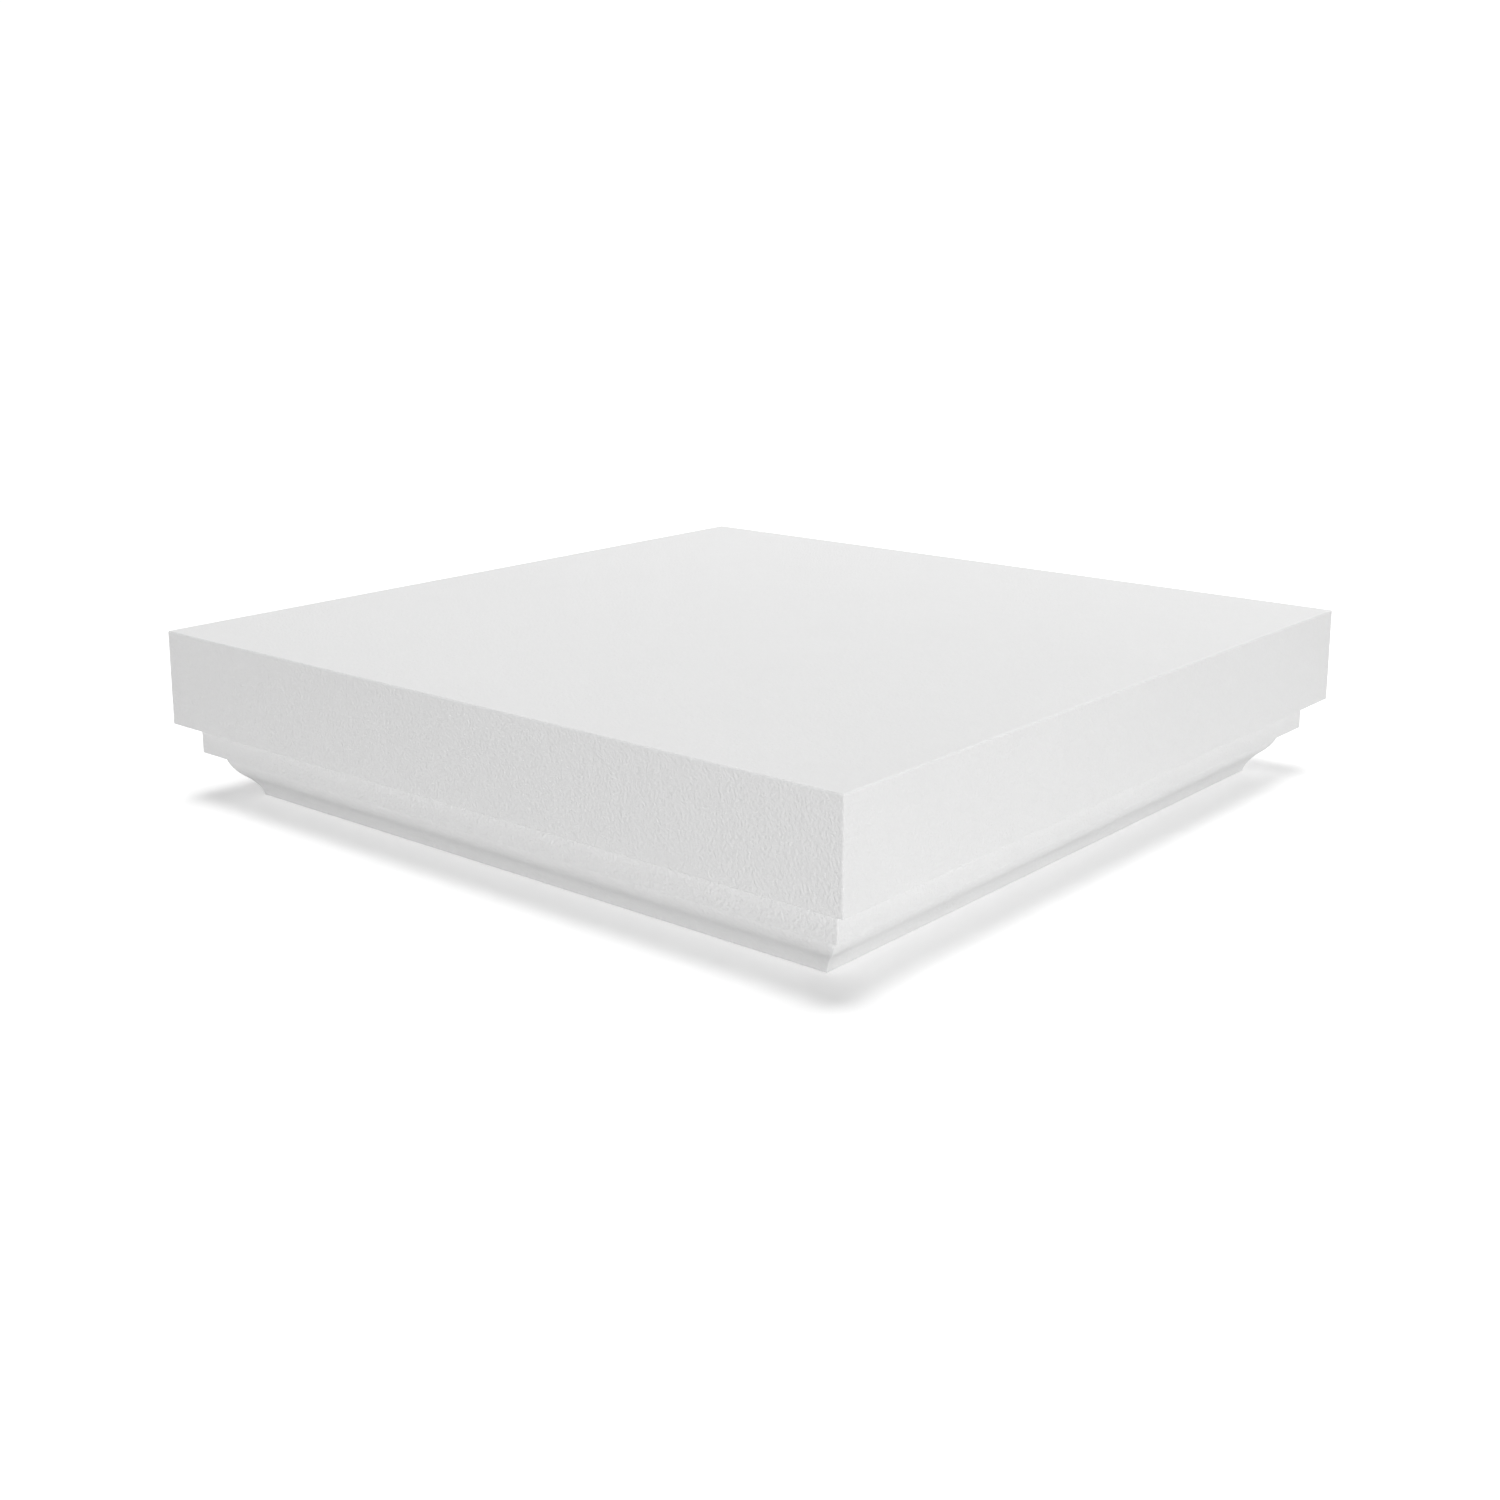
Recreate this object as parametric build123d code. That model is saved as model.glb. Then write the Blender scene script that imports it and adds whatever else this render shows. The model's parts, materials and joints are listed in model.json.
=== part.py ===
from build123d import *
import os

# Balustrade pier cap: a square moulded block in one piece, in millimetres.
# The origin is the centre of the square bed on the underside, with +Z up.
# From the top down its side is a deep fascia, a step in to a shallower
# fascia, a second step in, a short upright, and an ogee that draws the
# block in to its bed. All four sides are alike and meet in mitres.

# Side of the square top
SIDE = 440.0

# Heights of the side's members, from the top down
FASCIA_HEIGHT = 50.0
LOWER_FASCIA_HEIGHT = 16.0
UPRIGHT_HEIGHT = 3.0
OGEE_HEIGHT = 21.0

# How far each member stands out from the one below it
FASCIA_STEP = 10.0
LOWER_STEP = 8.0
OGEE_PROJECTION = 14.0

# Radius of both arcs of the ogee, the round one above and the hollow one below
OGEE_RADIUS = 19.0

# Radius that eases every outer arris
ARRIS_RADIUS = 0.5

# Levels of the two ledges and the top above the bed
LOWER_LEDGE = OGEE_HEIGHT + UPRIGHT_HEIGHT
UPPER_LEDGE = LOWER_LEDGE + LOWER_FASCIA_HEIGHT
TOP = UPPER_LEDGE + FASCIA_HEIGHT

# Distances from the centre to the upright faces and to the edge of the bed
FASCIA = SIDE / 2
LOWER_FASCIA = FASCIA - FASCIA_STEP
UPRIGHT = LOWER_FASCIA - LOWER_STEP
BED = UPRIGHT - OGEE_PROJECTION

# Largest error in a coordinate that still counts as lying on a level or a face
NEAR = 0.001


def half_section():
    """Face of the cross section from the centre line out to one side."""
    spring = Vector(UPRIGHT, OGEE_HEIGHT)
    foot = Vector(BED, 0)
    turn = (spring + foot) / 2
    with BuildSketch() as sketch:
        with BuildLine():
            Polyline(
                (0, 0),
                (0, TOP),
                (FASCIA, TOP),
                (FASCIA, UPPER_LEDGE),
                (LOWER_FASCIA, UPPER_LEDGE),
                (LOWER_FASCIA, LOWER_LEDGE),
                (UPRIGHT, LOWER_LEDGE),
                spring,
            )
            RadiusArc(spring, turn, OGEE_RADIUS)
            RadiusArc(turn, foot, -OGEE_RADIUS)
            Line(foot, (0, 0))
        make_face()
    return sketch.sketch


def straight_run(plane):
    """The whole cross section on an upright plane, carried to both ends of the block."""
    half = half_section()
    section = half + mirror(half, Plane.YZ)
    return extrude(plane * section, FASCIA, both=True)


def mitred_block():
    """The block, its section on all four sides, with every arris sharp."""
    return straight_run(Plane.XZ) & straight_run(Plane.YZ)


def is_inner_corner(edge):
    """Whether an edge is the hollow corner at the back of one of the two ledges."""
    box = edge.bounding_box()
    level = box.size.Z < NEAR
    reach = max(box.max.X, box.max.Y, -box.min.X, -box.min.Y)
    corners = ((LOWER_FASCIA, UPPER_LEDGE), (UPRIGHT, LOWER_LEDGE))
    return level and any(abs(reach - out) < NEAR and abs(box.max.Z - up) < NEAR for out, up in corners)


def pier_cap():
    """The finished cap."""
    block = mitred_block()
    arrises = block.edges().filter_by(is_inner_corner, reverse=True)
    return fillet(arrises, ARRIS_RADIUS)


os.makedirs("parts", exist_ok=True)
export_step(pier_cap(), "parts/pier_cap.step")
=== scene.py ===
import json
import math

import bpy
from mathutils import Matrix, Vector


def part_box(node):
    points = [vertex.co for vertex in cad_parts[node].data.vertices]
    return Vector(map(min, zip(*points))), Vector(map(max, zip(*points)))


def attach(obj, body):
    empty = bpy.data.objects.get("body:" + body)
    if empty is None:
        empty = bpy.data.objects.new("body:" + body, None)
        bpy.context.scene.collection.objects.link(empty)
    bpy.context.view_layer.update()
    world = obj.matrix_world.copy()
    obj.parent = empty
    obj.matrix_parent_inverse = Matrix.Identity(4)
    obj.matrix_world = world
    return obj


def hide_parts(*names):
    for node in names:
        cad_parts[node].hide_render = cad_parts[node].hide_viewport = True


bl_info = {
    "name": "Pier Cap",
    "version": (1, 0, 0),
    "blender": (4, 5, 0),
    "location": "3D View > Sidebar > Pier Cap",
    "description": "Casts a square moulded pier cap and sets it on a pale studio floor",
    "category": "Add Mesh",
}

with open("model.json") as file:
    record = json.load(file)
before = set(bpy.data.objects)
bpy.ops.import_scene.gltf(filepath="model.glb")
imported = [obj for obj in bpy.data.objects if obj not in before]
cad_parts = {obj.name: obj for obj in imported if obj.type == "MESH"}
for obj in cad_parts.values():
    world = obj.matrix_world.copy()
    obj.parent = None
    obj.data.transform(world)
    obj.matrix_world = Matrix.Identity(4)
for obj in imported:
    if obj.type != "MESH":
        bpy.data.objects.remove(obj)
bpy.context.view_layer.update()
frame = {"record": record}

# The cap's square plan and its height come from the frame
LOW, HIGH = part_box("pier_cap")
SIDE = HIGH.x - LOW.x
HEIGHT = HIGH.z - LOW.z

MM = 0.001

# The photograph's camera: its place, its angles in degrees, its lens and sensor in
# millimetres, its shift in shares of the frame's width, and how near and far it sees
CAMERA_PLACE = Vector((0.6324, -0.7679, 0.3037))
CAMERA_AZIMUTH = 40.177
CAMERA_ELEVATION = 12.160
CAMERA_LENS = 45.88
CAMERA_SENSOR = 36
CAMERA_SHIFT = (0.0055, -0.0858)
CAMERA_RANGE = (0.05, 50)

# How the cap's mesh is divided: spans of an eased arris and of each arc of the ogee, how
# far from a corner the first line of a face lies, and how close two points count as one
ARRIS_SPANS = 4
OGEE_SPANS = 8
MARGIN = 0.4 * MM
MERGE = 0.005 * MM

# Sides of the square plan
SIDES = 4

# Least length of a straight, in margins, that gets lines between its ends
LEAST_STRAIGHT = 3

# Added before a number of columns is rounded down, so that a whole one stays whole
ROUNDING = 0.001

# How far apart the swells of a face and the rubbed places of an arris lie
WAVE_SIZE = 45 * MM
RUB_SIZE = 14 * MM

# Seed of the swells, and how far on from it the seed of the rubbed places is
SEED = 3
RUB_SEED_STEP = 7

# Share of the full rub, and of the full painted arris shade, on the arrises that face down, which the
# block shelters from rubbing
SHELTERED_RUB_AND_PAINTED_SHADE = 0.2

# Middle of a noise, with its lumps above and its hollows below
NOISE_MIDDLE = 0.5

# Turn that keeps the cells of the surface's noise from lining up with its faces
GRAIN_TURN = tuple(math.radians(angle) for angle in (34, 21, 52))

# Sizes of the cast surface's cloud and mottle, the number of grains across a swell, and
# the number of specks of dust across a grain
CLOUD_SIZE = 60 * MM
MOTTLE_SIZE = 7 * MM
GRAINS_IN_SWELL = 4
SPECKS_IN_GRAIN = 3

# How much each of them changes the surface's tone, its relief and its roughness
CLOUD_TONE = 0.02
MOTTLE_TONE = 0.02
GRAIN_TONE = 0.03
SWELL_RELIEF = 0.2
DUST_RELIEF = 0.2
MOTTLE_ROUGHNESS = 0.08
GRAIN_ROUGHNESS = 0.1

# Refraction and gloss of the dry cast surface
STONE_IOR = 1.45
STONE_SPECULAR = 0.12

# The broad light from above, and where the soft boxes stand and how broad they are
OVERHEAD_SPREAD = math.radians(40)
KEY_PLACE = Vector((2.96, -1.44, 0.2))
KEY_SIZE = (1.5, 0.4)
FILL_PLACE = Vector((-0.5, -2.7, 0.15))
FILL_SIZE = (1.5, 0.3)
BACK_PLACE = Vector((0.1, 1.25, 0.9))
BACK_SIZE = (1.0, 0.6)
REAR_PLACE = Vector((-2.3, 2.0, 0.2))
REAR_SIZE = (1.5, 0.4)
LIGHT_TARGET = Vector((0, 0, 0.06))

# The floor's shade as the camera sees it. What it sends up to the cap goes from a near
# shade to a far one over a short distance outside the cap's plan
FLOOR_SHADE = 0.9
FLOOR_BOUNCE_NEAR = 0.95
FLOOR_BOUNCE_FAR = 0.55
FLOOR_FADE = 0.03

# Faint clouds in the floor's shade, and the number of points on its round edge
FLOOR_CLOUD_SIZE = 300 * MM
FLOOR_CLOUD_TONE = 0.01
FLOOR_POINTS = 96

# What the camera sees added to the floor, and in place of the sky, so that both are white
FLOOR_LIFT = 0.34
SKY_SEEN = 1.05


class CapSizes(bpy.types.PropertyGroup):
    """Sizes of the cap's section and of its cast surface."""

    fascia_height: bpy.props.FloatProperty(
        name="Fascia height",
        description="Height of the deep fascia under the top",
        default=50 * MM, min=0, subtype="DISTANCE", unit="LENGTH",
    )
    lower_fascia_height: bpy.props.FloatProperty(
        name="Lower fascia height",
        description="Height of the shallower fascia",
        default=16 * MM, min=0, subtype="DISTANCE", unit="LENGTH",
    )
    upright_height: bpy.props.FloatProperty(
        name="Upright height",
        description="Height of the short upright above the ogee",
        default=3 * MM, min=0, subtype="DISTANCE", unit="LENGTH",
    )
    fascia_step: bpy.props.FloatProperty(
        name="Fascia step",
        description="How far the fascia stands out from the lower fascia",
        default=10 * MM, min=0, subtype="DISTANCE", unit="LENGTH",
    )
    lower_step: bpy.props.FloatProperty(
        name="Lower step",
        description="How far the lower fascia stands out from the upright",
        default=8 * MM, min=0, subtype="DISTANCE", unit="LENGTH",
    )
    ogee_projection: bpy.props.FloatProperty(
        name="Ogee projection",
        description="How far the ogee draws in from the upright to the bed",
        default=14 * MM, min=0, subtype="DISTANCE", unit="LENGTH",
    )
    ogee_radius: bpy.props.FloatProperty(
        name="Ogee radius",
        description="Radius of the round and the hollow of the ogee",
        default=19 * MM, min=0, subtype="DISTANCE", unit="LENGTH",
    )
    arris_radius: bpy.props.FloatProperty(
        name="Arris radius",
        description="Radius that eases every outer arris",
        default=0.5 * MM, min=0, subtype="DISTANCE", unit="LENGTH",
    )
    arris_wear: bpy.props.FloatProperty(
        name="Arris wear",
        description="Most that an arris is rubbed back at any place",
        default=0.06 * MM, min=0, subtype="DISTANCE", unit="LENGTH",
    )
    unevenness: bpy.props.FloatProperty(
        name="Unevenness",
        description="Most that a face lies below the mould's true plane",
        default=0.04 * MM, min=0, subtype="DISTANCE", unit="LENGTH",
    )
    span: bpy.props.FloatProperty(
        name="Span",
        description="Longest stretch of a face between two lines of its mesh",
        default=6 * MM, min=0.5 * MM, subtype="DISTANCE", unit="LENGTH",
    )


class CapFinish(bpy.types.PropertyGroup):
    """Colour and grain of the cast surface."""

    colour: bpy.props.FloatVectorProperty(
        name="Colour",
        description="Colour of the white cast surface",
        default=frame["record"]["materials"][0]["base_color"][:3], min=0, max=1, subtype="COLOR",
    )
    roughness: bpy.props.FloatProperty(
        name="Roughness",
        description="Roughness of the cast surface",
        default=0.92, min=0, max=1, subtype="FACTOR",
    )
    # Painted shade: the arrises are made darker than the faces, to take back the highlight that the
    # eased arrises catch
    painted_arris_shade: bpy.props.FloatProperty(
        name="Arris shade",
        description="How much darker the rubbed arrises are than the faces",
        default=0.09, min=0, max=1, subtype="FACTOR",
    )
    grain_size: bpy.props.FloatProperty(
        name="Grain size",
        description="Distance from one grain of the sandy surface to the next",
        default=1.4 * MM, min=0.1 * MM, subtype="DISTANCE", unit="LENGTH",
    )
    grain_depth: bpy.props.FloatProperty(
        name="Grain depth",
        description="Depth of the hollows between the grains",
        default=0.37 * MM, min=0, subtype="DISTANCE", unit="LENGTH",
    )


class StudioLight(bpy.types.PropertyGroup):
    """Strengths of the studio's lights and the size of its floor."""

    sky: bpy.props.FloatProperty(
        name="Sky",
        description="Brightness of the even light from all round",
        default=0.1, min=0,
    )
    overhead: bpy.props.FloatProperty(
        name="Overhead",
        description="Strength of the broad light from above",
        default=0.725, min=0,
    )
    key: bpy.props.FloatProperty(
        name="Key",
        description="Power of the soft box low on the right",
        default=61.8, min=0, subtype="POWER", unit="POWER",
    )
    fill: bpy.props.FloatProperty(
        name="Fill",
        description="Power of the soft box low in front of the left side",
        default=14.35, min=0, subtype="POWER", unit="POWER",
    )
    back: bpy.props.FloatProperty(
        name="Back",
        description="Power of the soft box above and behind the cap",
        default=4.4, min=0, subtype="POWER", unit="POWER",
    )
    rear: bpy.props.FloatProperty(
        name="Rear",
        description="Power of the soft box low behind the cap, which lights the two far sides",
        default=32.0, min=0, subtype="POWER", unit="POWER",
    )
    floor_radius: bpy.props.FloatProperty(
        name="Floor radius",
        description="Radius of the pale floor",
        default=8.0, min=1, subtype="DISTANCE", unit="LENGTH",
    )


class Value:
    """A number in a node tree. Arithmetic on it adds Math nodes."""

    def __init__(self, graph, socket):
        self.graph = graph
        self.socket = socket

    def other(self, name):
        """Another output of the node that this value comes from."""
        return Value(self.graph, self.socket.node.outputs[name])

    def math(self, operation, *terms):
        return self.graph.add("ShaderNodeMath", {"operation": operation}, dict(enumerate(terms)))

    def __add__(self, term):
        return self.math("ADD", self, term)

    def __radd__(self, term):
        return self.math("ADD", term, self)

    def __sub__(self, term):
        return self.math("SUBTRACT", self, term)

    def __rsub__(self, term):
        return self.math("SUBTRACT", term, self)

    def __mul__(self, term):
        return self.math("MULTIPLY", self, term)

    def __rmul__(self, term):
        return self.math("MULTIPLY", term, self)

    def __truediv__(self, term):
        return self.math("DIVIDE", self, term)

    def __neg__(self):
        return self.math("MULTIPLY", self, -1.0)

    def __abs__(self):
        return self.math("ABSOLUTE", self)

    def floor(self):
        return self.math("FLOOR", self)

    def sign(self):
        return self.math("SIGN", self)

    def sin(self):
        return self.math("SINE", self)

    def cos(self):
        return self.math("COSINE", self)

    def above(self, limit):
        return self.math("GREATER_THAN", self, limit)

    def at_most(self, limit):
        return self.math("MINIMUM", self, limit)

    def at_least(self, limit):
        return self.math("MAXIMUM", self, limit)


class Graph:
    """A node tree being built."""

    def __init__(self, tree):
        self.tree = tree

    def add(self, kind, settings=(), values=(), output=0):
        """Adds a node, sets its settings first and then its sockets, and gives one of its outputs."""
        node = self.tree.nodes.new(kind)
        for name, setting in dict(settings).items():
            setattr(node, name, setting)
        for name, value in dict(values).items():
            self.feed(node.inputs[name], value)
        return None if output is None else Value(self, node.outputs[output])

    def feed(self, socket, value):
        """Links a value to a socket, or sets a constant on it."""
        if isinstance(value, Value):
            self.tree.links.new(value.socket, socket)
        else:
            socket.default_value = value

    def noise(self, size, place, detail=2.0, roughness=0.5):
        """Noise whose lumps are about the given size across."""
        values = {"Scale": 1.0 / size, "Detail": detail, "Roughness": roughness, "Vector": place}
        return self.add("ShaderNodeTexNoise", {}, values, "Fac")

    def seeded_noise(self, size, seed, detail):
        """Noise over the mesh's own points, which a seed changes."""
        values = {"Scale": 1.0 / size, "Detail": detail, "Roughness": 0.5, "W": seed}
        return self.add("ShaderNodeTexNoise", {"noise_dimensions": "4D"}, values, "Fac")


def swept(centre, start, end, count):
    """Points of the shorter arc about a centre from start to end, with both ends."""
    first, last = start - centre, end - centre
    begin = math.atan2(first.y, first.x)
    turn = math.remainder(math.atan2(last.y, last.x) - begin, 2 * math.pi)
    angles = [begin + turn * step / count for step in range(count + 1)]
    return [centre + first.length * Vector((math.cos(angle), math.sin(angle))) for angle in angles]


def bowed(start, end, radius, bow, count):
    """Points of an arc without its ends, bowed out of the block at 1 and into it at -1."""
    chord = end - start
    outward = Vector((chord.y, -chord.x)).normalized()
    depth = math.sqrt(radius**2 - (chord.length / 2) ** 2)
    centre = (start + end) / 2 - outward * depth * bow
    return swept(centre, start, end, count)[1:-1]


def eased_corner(before, corner, after, radius, count):
    """Points of the arc that eases a corner, with both of its ends."""
    back = (before - corner).normalized()
    on = (after - corner).normalized()
    half = back.angle(on) / 2
    reach = radius / math.tan(half)
    centre = corner + (back + on).normalized() * radius / math.sin(half)
    return swept(centre, corner + back * reach, corner + on * reach, count)


def spaced(start, end, span, margin):
    """Points between the ends of a straight, evenly spaced, with one close to each end."""
    run = end - start
    if run.length <= LEAST_STRAIGHT * margin:
        return []
    near = start + run.normalized() * margin
    far = end - run.normalized() * margin
    count = math.ceil((far - near).length / span)
    return [near.lerp(far, step / count) for step in range(count + 1)]


def section_stations(sizes):
    """Stations up one side, from the bed's middle to the top's, as (point, share of the rub and of
    the painted arris shade).
    """
    fascia = SIDE / 2
    lower_fascia = fascia - sizes.fascia_step
    upright = lower_fascia - sizes.lower_step
    upper_ledge = HEIGHT - sizes.fascia_height
    lower_ledge = upper_ledge - sizes.lower_fascia_height
    foot = Vector((upright - sizes.ogee_projection, 0))
    spring = Vector((upright, lower_ledge - sizes.upright_height))
    turn = (foot + spring) / 2
    hollow = bowed(foot, turn, sizes.ogee_radius, -1, OGEE_SPANS)
    round_part = bowed(turn, spring, sizes.ogee_radius, 1, OGEE_SPANS)
    corners = [(Vector((0, 0)), 0), (foot, SHELTERED_RUB_AND_PAINTED_SHADE)]
    corners += [(point, 0) for point in (*hollow, turn, *round_part, spring)]
    corners += [
        (Vector((upright, lower_ledge)), 0),
        (Vector((lower_fascia, lower_ledge)), SHELTERED_RUB_AND_PAINTED_SHADE),
        (Vector((lower_fascia, upper_ledge)), 0),
        (Vector((fascia, upper_ledge)), SHELTERED_RUB_AND_PAINTED_SHADE),
        (Vector((fascia, HEIGHT)), 1),
        (Vector((0, HEIGHT)), 0),
    ]
    bends = []
    for place, (corner, rub) in enumerate(corners):
        bend = [corner]
        if rub:
            before, after = corners[place - 1][0], corners[place + 1][0]
            bend = eased_corner(before, corner, after, sizes.arris_radius, ARRIS_SPANS)
        bends.append((bend, rub))
    stations = []
    for (bend, rub), (following, _) in zip(bends, bends[1:] + [([], 0)]):
        last = len(bend) - 1
        stations += [(point, rub if 0 < place < last else 0) for place, point in enumerate(bend)]
        if following:
            stations += [(point, 0) for point in spaced(bend[-1], following[0], sizes.span, MARGIN)]
    return stations


def section_line(sizes):
    """Mesh object of the section's line, with the arrises marked on it."""
    stations = section_stations(sizes)
    mesh = bpy.data.meshes.new("section")
    edges = [(place, place + 1) for place in range(len(stations) - 1)]
    mesh.from_pydata([(point.x, 0, point.y) for point, _ in stations], edges, [])
    marks = mesh.attributes.new("arris", "FLOAT", "POINT")
    marks.data.foreach_set("value", [float(rub) for _, rub in stations])
    piece = bpy.data.objects.new("cast_cap", mesh)
    bpy.context.collection.objects.link(piece)
    return piece


def carrying_tree():
    """Tree that carries a section round the sides of a square, with mitred and eased corners."""
    tree = bpy.data.node_groups.new("section round a square", "GeometryNodeTree")
    sockets = (
        ("Section", "NodeSocketGeometry"),
        ("Half spans", "NodeSocketInt"),
        ("Arris spans", "NodeSocketInt"),
        ("Arris radius", "NodeSocketFloat"),
        ("Margin", "NodeSocketFloat"),
        ("Arris wear", "NodeSocketFloat"),
        ("Unevenness", "NodeSocketFloat"),
        ("Seed", "NodeSocketInt"),
        ("Material", "NodeSocketMaterial"),
    )
    for name, kind in sockets:
        tree.interface.new_socket(name=name, in_out="INPUT", socket_type=kind)
    tree.interface.new_socket(name="Cap", in_out="OUTPUT", socket_type="NodeSocketGeometry")
    graph = Graph(tree)
    given = graph.add("NodeGroupInput")
    cap = all_sides(graph, one_side(graph, given))
    cap = worn_down(graph, given, cap)
    cap = graph.add("GeometryNodeSetShadeSmooth", {}, {"Geometry": cap})
    dressed = {"Geometry": cap, "Material": given.other("Material")}
    cap = graph.add("GeometryNodeSetMaterial", {}, dressed)
    graph.add("NodeGroupOutput", {}, {"Cap": cap}, output=None)
    return tree


def one_side(graph, given):
    """Sheet bent to one side of the block, from the middle of one eased corner to the next."""
    section = given.other("Section")
    half_spans = given.other("Half spans")
    arris_spans = given.other("Arris spans")
    margin = given.other("Margin")

    counted_in = {"Geometry": section}
    domain = {"component": "MESH"}
    rows = graph.add("GeometryNodeAttributeDomainSize", domain, counted_in, "Point Count")
    reach = half_spans + arris_spans
    grid = {"Vertices X": 2 * reach + 1, "Vertices Y": rows}
    sheet = graph.add("GeometryNodeMeshGrid", {}, grid, "Mesh")
    index = graph.add("GeometryNodeInputIndex")
    column = (index / rows + ROUNDING).floor()
    row = index - column * rows
    across = column - reach

    place = graph.add("GeometryNodeInputPosition")
    here = sampled(graph, section, "FLOAT_VECTOR", place, row)
    ahead = sampled(graph, section, "FLOAT_VECTOR", place, row + 1)
    behind = sampled(graph, section, "FLOAT_VECTOR", place, row - 1)
    along = graph.add("ShaderNodeVectorMath", {"operation": "SUBTRACT"}, {0: ahead, 1: behind})
    along = graph.add("ShaderNodeVectorMath", {"operation": "NORMALIZE"}, {0: along})
    upright = abs(graph.add("ShaderNodeSeparateXYZ", {}, {0: along}, "Z"))
    out = graph.add("ShaderNodeSeparateXYZ", {}, {0: here}, "X")
    up = graph.add("ShaderNodeSeparateXYZ", {}, {0: here}, "Z")

    ease = (given.other("Arris radius") * upright).at_most(out)
    straight = out - ease
    flat_part = across.at_most(half_spans).at_least(-half_spans)
    turned = (across - flat_part) / arris_spans
    angle = turned * (math.pi / SIDES)
    counted = abs(flat_part)
    inner = (counted / (half_spans - 1)).at_most(1)
    outer = (counted - (half_spans - 1)).at_least(0)
    close = margin.at_most(straight)
    sideways = flat_part.sign() * (inner * (straight - close) + outer * close) + ease * angle.sin()
    outward = straight + ease * angle.cos()
    point = graph.add("ShaderNodeCombineXYZ", {}, {"X": outward, "Y": sideways, "Z": up})
    side = graph.add("GeometryNodeSetPosition", {}, {"Geometry": sheet, "Position": point})

    on_section_arris = sampled(graph, section, "FLOAT", named(graph, "arris"), row)
    on_corner = abs(turned).above(0) * upright
    return graph.add(
        "GeometryNodeStoreNamedAttribute",
        {"data_type": "FLOAT", "domain": "POINT"},
        {"Geometry": side, "Name": "arris", "Value": on_section_arris.at_least(on_corner)},
    )


def all_sides(graph, side):
    """The side set round the square and joined to one closed block."""
    corners = graph.add("GeometryNodePoints", {}, {"Count": SIDES})
    turn = graph.add("GeometryNodeInputIndex") * (2 * math.pi / SIDES)
    turn = graph.add("ShaderNodeCombineXYZ", {}, {"Z": turn})
    turn = graph.add("FunctionNodeEulerToRotation", {}, {"Euler": turn})
    copies = {"Points": corners, "Instance": side, "Rotation": turn}
    sides = graph.add("GeometryNodeInstanceOnPoints", {}, copies)
    block = graph.add("GeometryNodeRealizeInstances", {}, {"Geometry": sides})
    return graph.add("GeometryNodeMergeByDistance", {}, {"Geometry": block, "Distance": MERGE})


def worn_down(graph, given, block):
    """The block with slightly uneven faces and rubbed arrises. Its bed stays flat."""
    seed = given.other("Seed")
    wave = graph.seeded_noise(WAVE_SIZE, seed, detail=1.0)
    rub = graph.seeded_noise(RUB_SIZE, seed + RUB_SEED_STEP, detail=2.0)
    place = graph.add("GeometryNodeInputPosition")
    height = graph.add("ShaderNodeSeparateXYZ", {}, {0: place}, "Z")
    worn = given.other("Arris wear") * rub * named(graph, "arris")
    depth = height.above(MERGE) * (given.other("Unevenness") * wave + worn)
    normal = graph.add("GeometryNodeInputNormal")
    sunk = graph.add("ShaderNodeVectorMath", {"operation": "SCALE"}, {0: normal, "Scale": -depth})
    return graph.add("GeometryNodeSetPosition", {}, {"Geometry": block, "Offset": sunk})


def sampled(graph, section, kind, value, row):
    """A value read from one station of the section."""
    return graph.add(
        "GeometryNodeSampleIndex",
        {"data_type": kind, "domain": "POINT", "clamp": True},
        {"Geometry": section, "Value": value, "Index": row},
    )


def named(graph, name):
    """A number stored on the mesh under a name."""
    return graph.add("GeometryNodeInputNamedAttribute", {"data_type": "FLOAT"}, {"Name": name})


def plain_mesh(piece, tree, inputs):
    """Runs a tree on a piece with the given inputs and keeps the result as the piece's own mesh."""
    modifier = piece.modifiers.new("form", "NODES")
    modifier.node_group = tree
    for item in tree.interface.items_tree:
        if item.in_out == "INPUT" and item.name in inputs:
            modifier[item.identifier] = inputs[item.name]
    bpy.context.view_layer.update()
    evaluated = piece.evaluated_get(bpy.context.evaluated_depsgraph_get())
    mesh = bpy.data.meshes.new_from_object(evaluated)
    piece.modifiers.remove(modifier)
    piece.data = mesh
    mesh.name = piece.name


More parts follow.
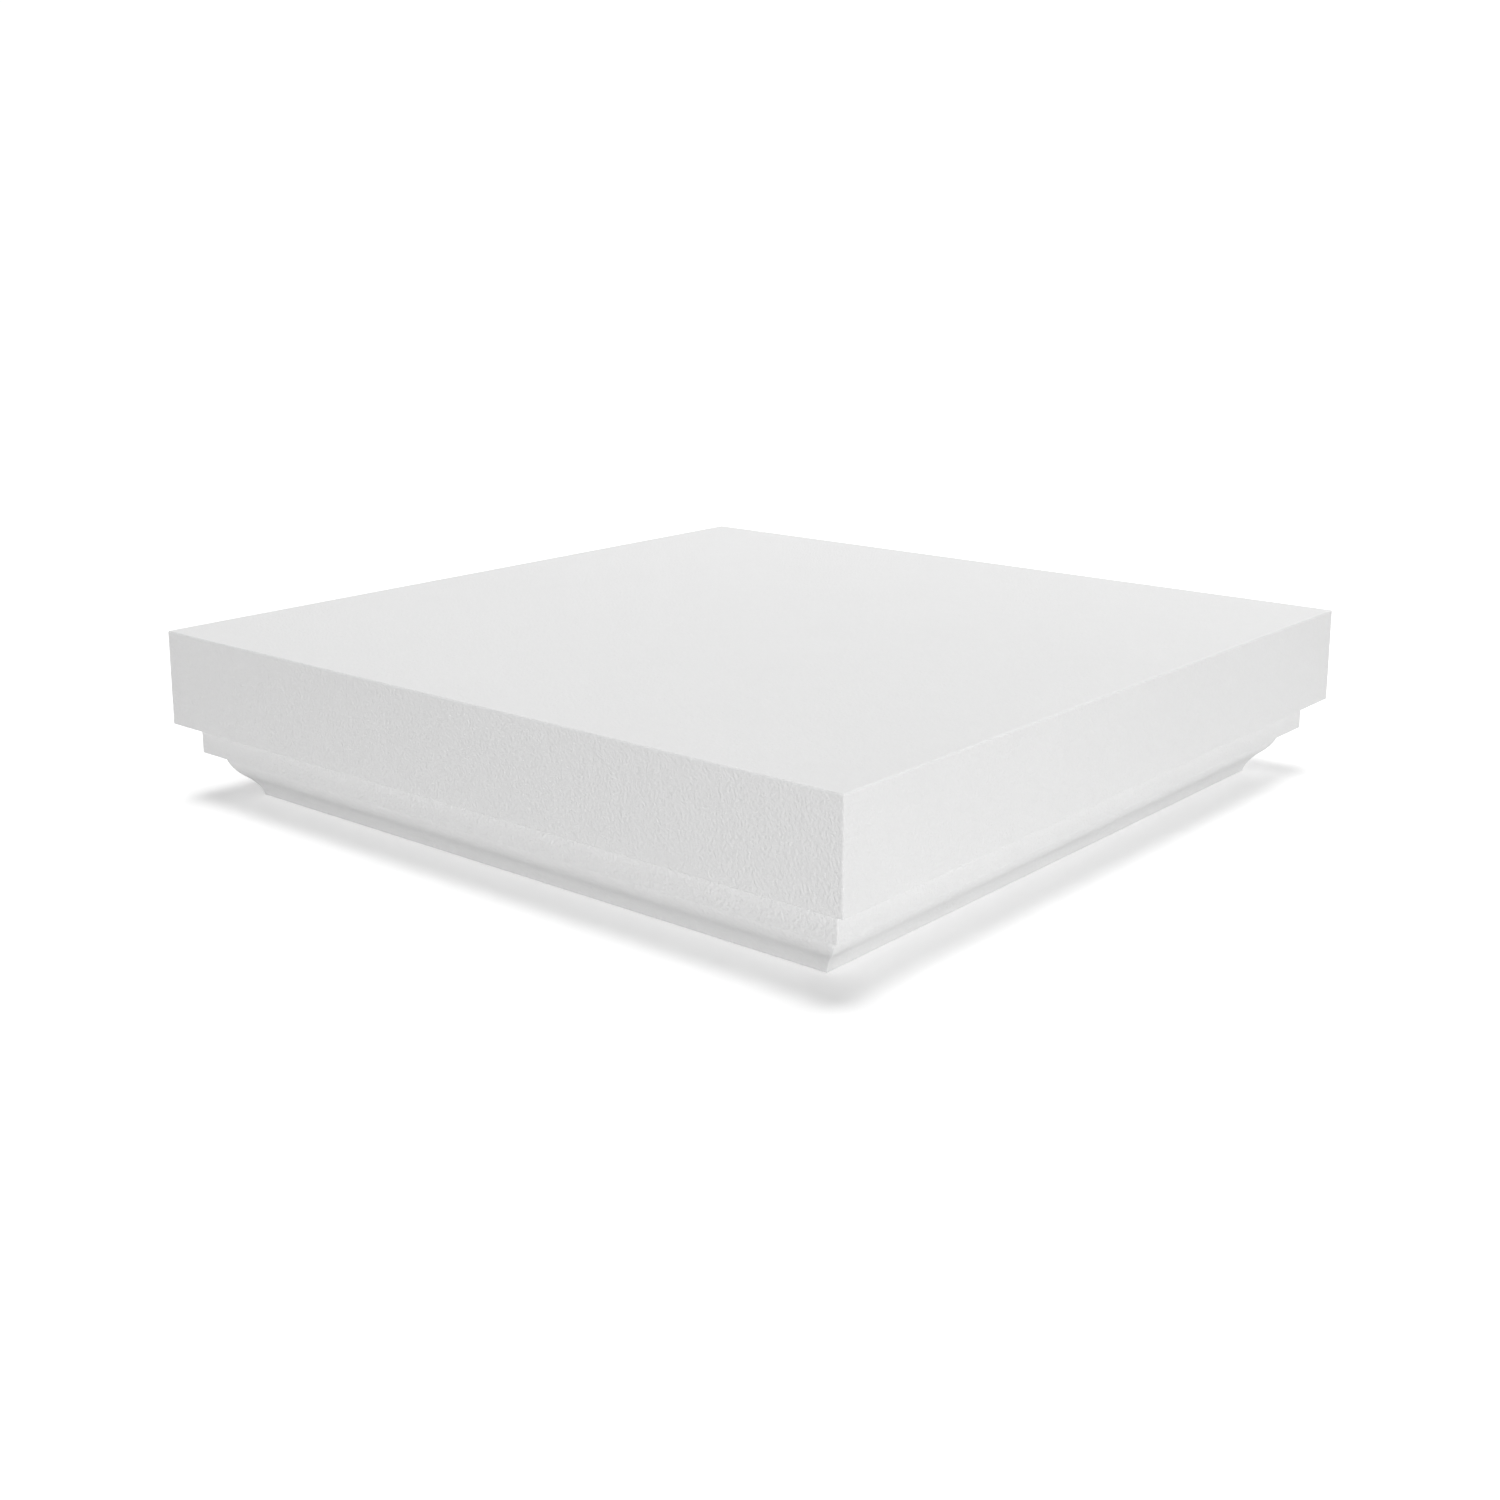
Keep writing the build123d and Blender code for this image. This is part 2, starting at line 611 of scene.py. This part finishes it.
def cast_surface(finish):
    """White cast surface with a fine sandy grain, and painted shade on the arrises that takes back
    the highlight they catch.
    """
    material = bpy.data.materials.new("cast_stone")
    material.use_nodes = True
    material.node_tree.nodes.clear()
    graph = Graph(material.node_tree)
    place = graph.add("ShaderNodeTexCoord", {}, {}, "Object")
    place = graph.add("ShaderNodeMapping", {}, {"Vector": place, "Rotation": GRAIN_TURN})
    cloud = graph.noise(CLOUD_SIZE, place, detail=3.0, roughness=0.6)
    mottle = graph.noise(MOTTLE_SIZE, place, detail=3.0, roughness=0.6)
    grain = graph.noise(finish.grain_size, place)
    swell = graph.noise(finish.grain_size * GRAINS_IN_SWELL, place)
    dust = graph.noise(finish.grain_size / SPECKS_IN_GRAIN, place, detail=1.0)
    # The arris mark paints shade onto the arrises: the tone there is lowered so that they show no
    # highlight line, and the arrises that face down get a smaller share
    rubbed = graph.add("ShaderNodeAttribute", {"attribute_name": "arris"}, {}, "Fac")
    tone = 1 + CLOUD_TONE * (cloud - NOISE_MIDDLE) + MOTTLE_TONE * (mottle - NOISE_MIDDLE)
    tone = tone + GRAIN_TONE * (grain - NOISE_MIDDLE) - finish.painted_arris_shade * rubbed
    tinted = {0: tuple(finish.colour), "Scale": tone}
    colour = graph.add("ShaderNodeVectorMath", {"operation": "SCALE"}, tinted)
    relief = grain + SWELL_RELIEF * swell + DUST_RELIEF * dust
    bumps = {"Strength": 1.0, "Distance": finish.grain_depth, "Height": relief}
    normal = graph.add("ShaderNodeBump", {}, bumps)
    rough = finish.roughness + MOTTLE_ROUGHNESS * (mottle - NOISE_MIDDLE)
    rough = rough + GRAIN_ROUGHNESS * (grain - NOISE_MIDDLE)
    values = {
        "Base Color": colour,
        "Roughness": rough,
        "IOR": STONE_IOR,
        "Specular IOR Level": STONE_SPECULAR,
        "Normal": normal,
    }
    shader = graph.add("ShaderNodeBsdfPrincipled", {}, values)
    graph.add("ShaderNodeOutputMaterial", {}, {"Surface": shader}, output=None)
    return material


def floor_surface():
    """Pale floor that the camera sees as white where no shadow lies on it.

    Close to the cap it sends more light up, which lights the ogee from below.
    """
    material = bpy.data.materials.new("pale_floor")
    material.use_nodes = True
    material.node_tree.nodes.clear()
    graph = Graph(material.node_tree)
    place = graph.add("ShaderNodeTexCoord", {}, {}, "Object")
    seen = graph.add("ShaderNodeLightPath", {}, {}, "Is Camera Ray")
    across = graph.add("ShaderNodeSeparateXYZ", {}, {0: place}, "X")
    reach = abs(across).at_least(abs(across.other("Y")))
    far = ((reach - SIDE / 2) / FLOOR_FADE).at_least(0).at_most(1)
    bounce = FLOOR_BOUNCE_NEAR + (FLOOR_BOUNCE_FAR - FLOOR_BOUNCE_NEAR) * far
    shade = bounce + (FLOOR_SHADE - bounce) * seen
    shade = shade + FLOOR_CLOUD_TONE * (graph.noise(FLOOR_CLOUD_SIZE, place) - NOISE_MIDDLE)
    colour = graph.add("ShaderNodeCombineColor", {}, {"Red": shade, "Green": shade, "Blue": shade})
    plain = graph.add("ShaderNodeBsdfDiffuse", {}, {"Color": colour})
    lift = graph.add("ShaderNodeEmission", {}, {"Strength": seen * FLOOR_LIFT})
    shader = graph.add("ShaderNodeAddShader", {}, {0: plain, 1: lift})
    graph.add("ShaderNodeOutputMaterial", {}, {"Surface": shader}, output=None)
    return material


def studio_sky(strength):
    """Even light from all round, which the camera sees as white."""
    world = bpy.data.worlds.new("studio")
    world.use_nodes = True
    world.node_tree.nodes.clear()
    graph = Graph(world.node_tree)
    path = graph.add("ShaderNodeLightPath", {}, {}, "Is Camera Ray")
    seen = path.at_least(path.other("Is Glossy Ray")).at_least(path.other("Is Transmission Ray"))
    level = strength + seen * (SKY_SEEN - strength)
    light = graph.add("ShaderNodeBackground", {}, {"Color": (1, 1, 1, 1), "Strength": level})
    graph.add("ShaderNodeOutputWorld", {}, {"Surface": light}, output=None)
    bpy.context.scene.world = world


def soft_box(name, place, size, power):
    """Area lamp at a place, turned to the cap."""
    lamp = bpy.data.lights.new(name, "AREA")
    lamp.shape = "RECTANGLE"
    lamp.size, lamp.size_y = size
    lamp.energy = power
    box = bpy.data.objects.new(name, lamp)
    box.location = place
    box.rotation_mode = "QUATERNION"
    box.rotation_quaternion = (LIGHT_TARGET - place).to_track_quat("-Z", "Y")
    bpy.context.collection.objects.link(box)


def camera_at_photograph():
    """Camera that sees the cap as the photograph does."""
    azimuth = math.radians(CAMERA_AZIMUTH)
    elevation = math.radians(CAMERA_ELEVATION)
    level = math.cos(elevation)
    back = Vector((math.sin(azimuth) * level, -math.cos(azimuth) * level, math.sin(elevation)))
    data = bpy.data.cameras.new("camera")
    data.lens = CAMERA_LENS
    data.sensor_width = CAMERA_SENSOR
    data.shift_x, data.shift_y = CAMERA_SHIFT
    data.clip_start, data.clip_end = CAMERA_RANGE
    camera = bpy.data.objects.new("camera", data)
    camera.location = CAMERA_PLACE
    camera.rotation_mode = "QUATERNION"
    camera.rotation_quaternion = (-back).to_track_quat("-Z", "Y")
    bpy.context.collection.objects.link(camera)
    bpy.context.scene.camera = camera


class PIERCAP_OT_cast_cap(bpy.types.Operator):
    """Casts the pier cap in one piece"""

    bl_idname = "piercap.cast_cap"
    bl_label = "Cast Cap"

    def execute(self, context):
        sizes = context.scene.cap_sizes
        piece = section_line(sizes)
        material = cast_surface(context.scene.cap_finish)
        plain_mesh(piece, carrying_tree(), {
            "Half spans": math.ceil(SIDE / 2 / sizes.span),
            "Arris spans": ARRIS_SPANS // 2,
            "Arris radius": sizes.arris_radius,
            "Margin": MARGIN,
            "Arris wear": sizes.arris_wear,
            "Unevenness": sizes.unevenness,
            "Seed": SEED,
            "Material": material,
        })
        if not piece.data.polygons:
            raise RuntimeError("the cap has no faces")
        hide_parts("pier_cap")
        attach(piece, "root")
        return {"FINISHED"}


class PIERCAP_OT_set_stage(bpy.types.Operator):
    """Lays the pale floor and sets the studio's lights and camera"""

    bl_idname = "piercap.set_stage"
    bl_label = "Set Stage"

    def execute(self, context):
        light = context.scene.studio_light
        bpy.ops.mesh.primitive_circle_add(
            vertices=FLOOR_POINTS,
            radius=light.floor_radius,
            fill_type="NGON",
        )
        floor = context.object
        floor.name = "floor"
        floor.data.materials.append(floor_surface())
        studio_sky(light.sky)
        # A sun of strength pi lights a level white face to a brightness of 1
        sun = bpy.data.lights.new("overhead", "SUN")
        sun.energy = light.overhead * math.pi
        sun.angle = OVERHEAD_SPREAD
        context.collection.objects.link(bpy.data.objects.new("overhead", sun))
        soft_box("key", KEY_PLACE, KEY_SIZE, light.key)
        soft_box("fill", FILL_PLACE, FILL_SIZE, light.fill)
        soft_box("back", BACK_PLACE, BACK_SIZE, light.back)
        soft_box("rear", REAR_PLACE, REAR_SIZE, light.rear)
        camera_at_photograph()
        context.scene.view_settings.view_transform = "Standard"
        return {"FINISHED"}


class PIERCAP_PT_sidebar(bpy.types.Panel):
    """Sizes, finish and light of the pier cap"""

    bl_label = "Pier Cap"
    bl_idname = "PIERCAP_PT_sidebar"
    bl_space_type = "VIEW_3D"
    bl_region_type = "UI"
    bl_category = "Pier Cap"

    def draw(self, context):
        groups = (
            (context.scene.cap_sizes, None),
            (context.scene.cap_finish, PIERCAP_OT_cast_cap),
            (context.scene.studio_light, PIERCAP_OT_set_stage),
        )
        for settings, operator in groups:
            column = self.layout.column()
            for name in settings.__annotations__:
                column.prop(settings, name)
            if operator:
                column.operator(operator.bl_idname)


CLASSES = (
    CapSizes,
    CapFinish,
    StudioLight,
    PIERCAP_OT_cast_cap,
    PIERCAP_OT_set_stage,
    PIERCAP_PT_sidebar,
)


def register():
    for each in CLASSES:
        bpy.utils.register_class(each)
    bpy.types.Scene.cap_sizes = bpy.props.PointerProperty(type=CapSizes)
    bpy.types.Scene.cap_finish = bpy.props.PointerProperty(type=CapFinish)
    bpy.types.Scene.studio_light = bpy.props.PointerProperty(type=StudioLight)


def unregister():
    del bpy.types.Scene.studio_light
    del bpy.types.Scene.cap_finish
    del bpy.types.Scene.cap_sizes
    for each in reversed(CLASSES):
        bpy.utils.unregister_class(each)


def main():
    """Makes the cap and its stage."""
    register()
    bpy.ops.piercap.cast_cap()
    bpy.ops.piercap.set_stage()


if __name__ == "__main__":
    main()
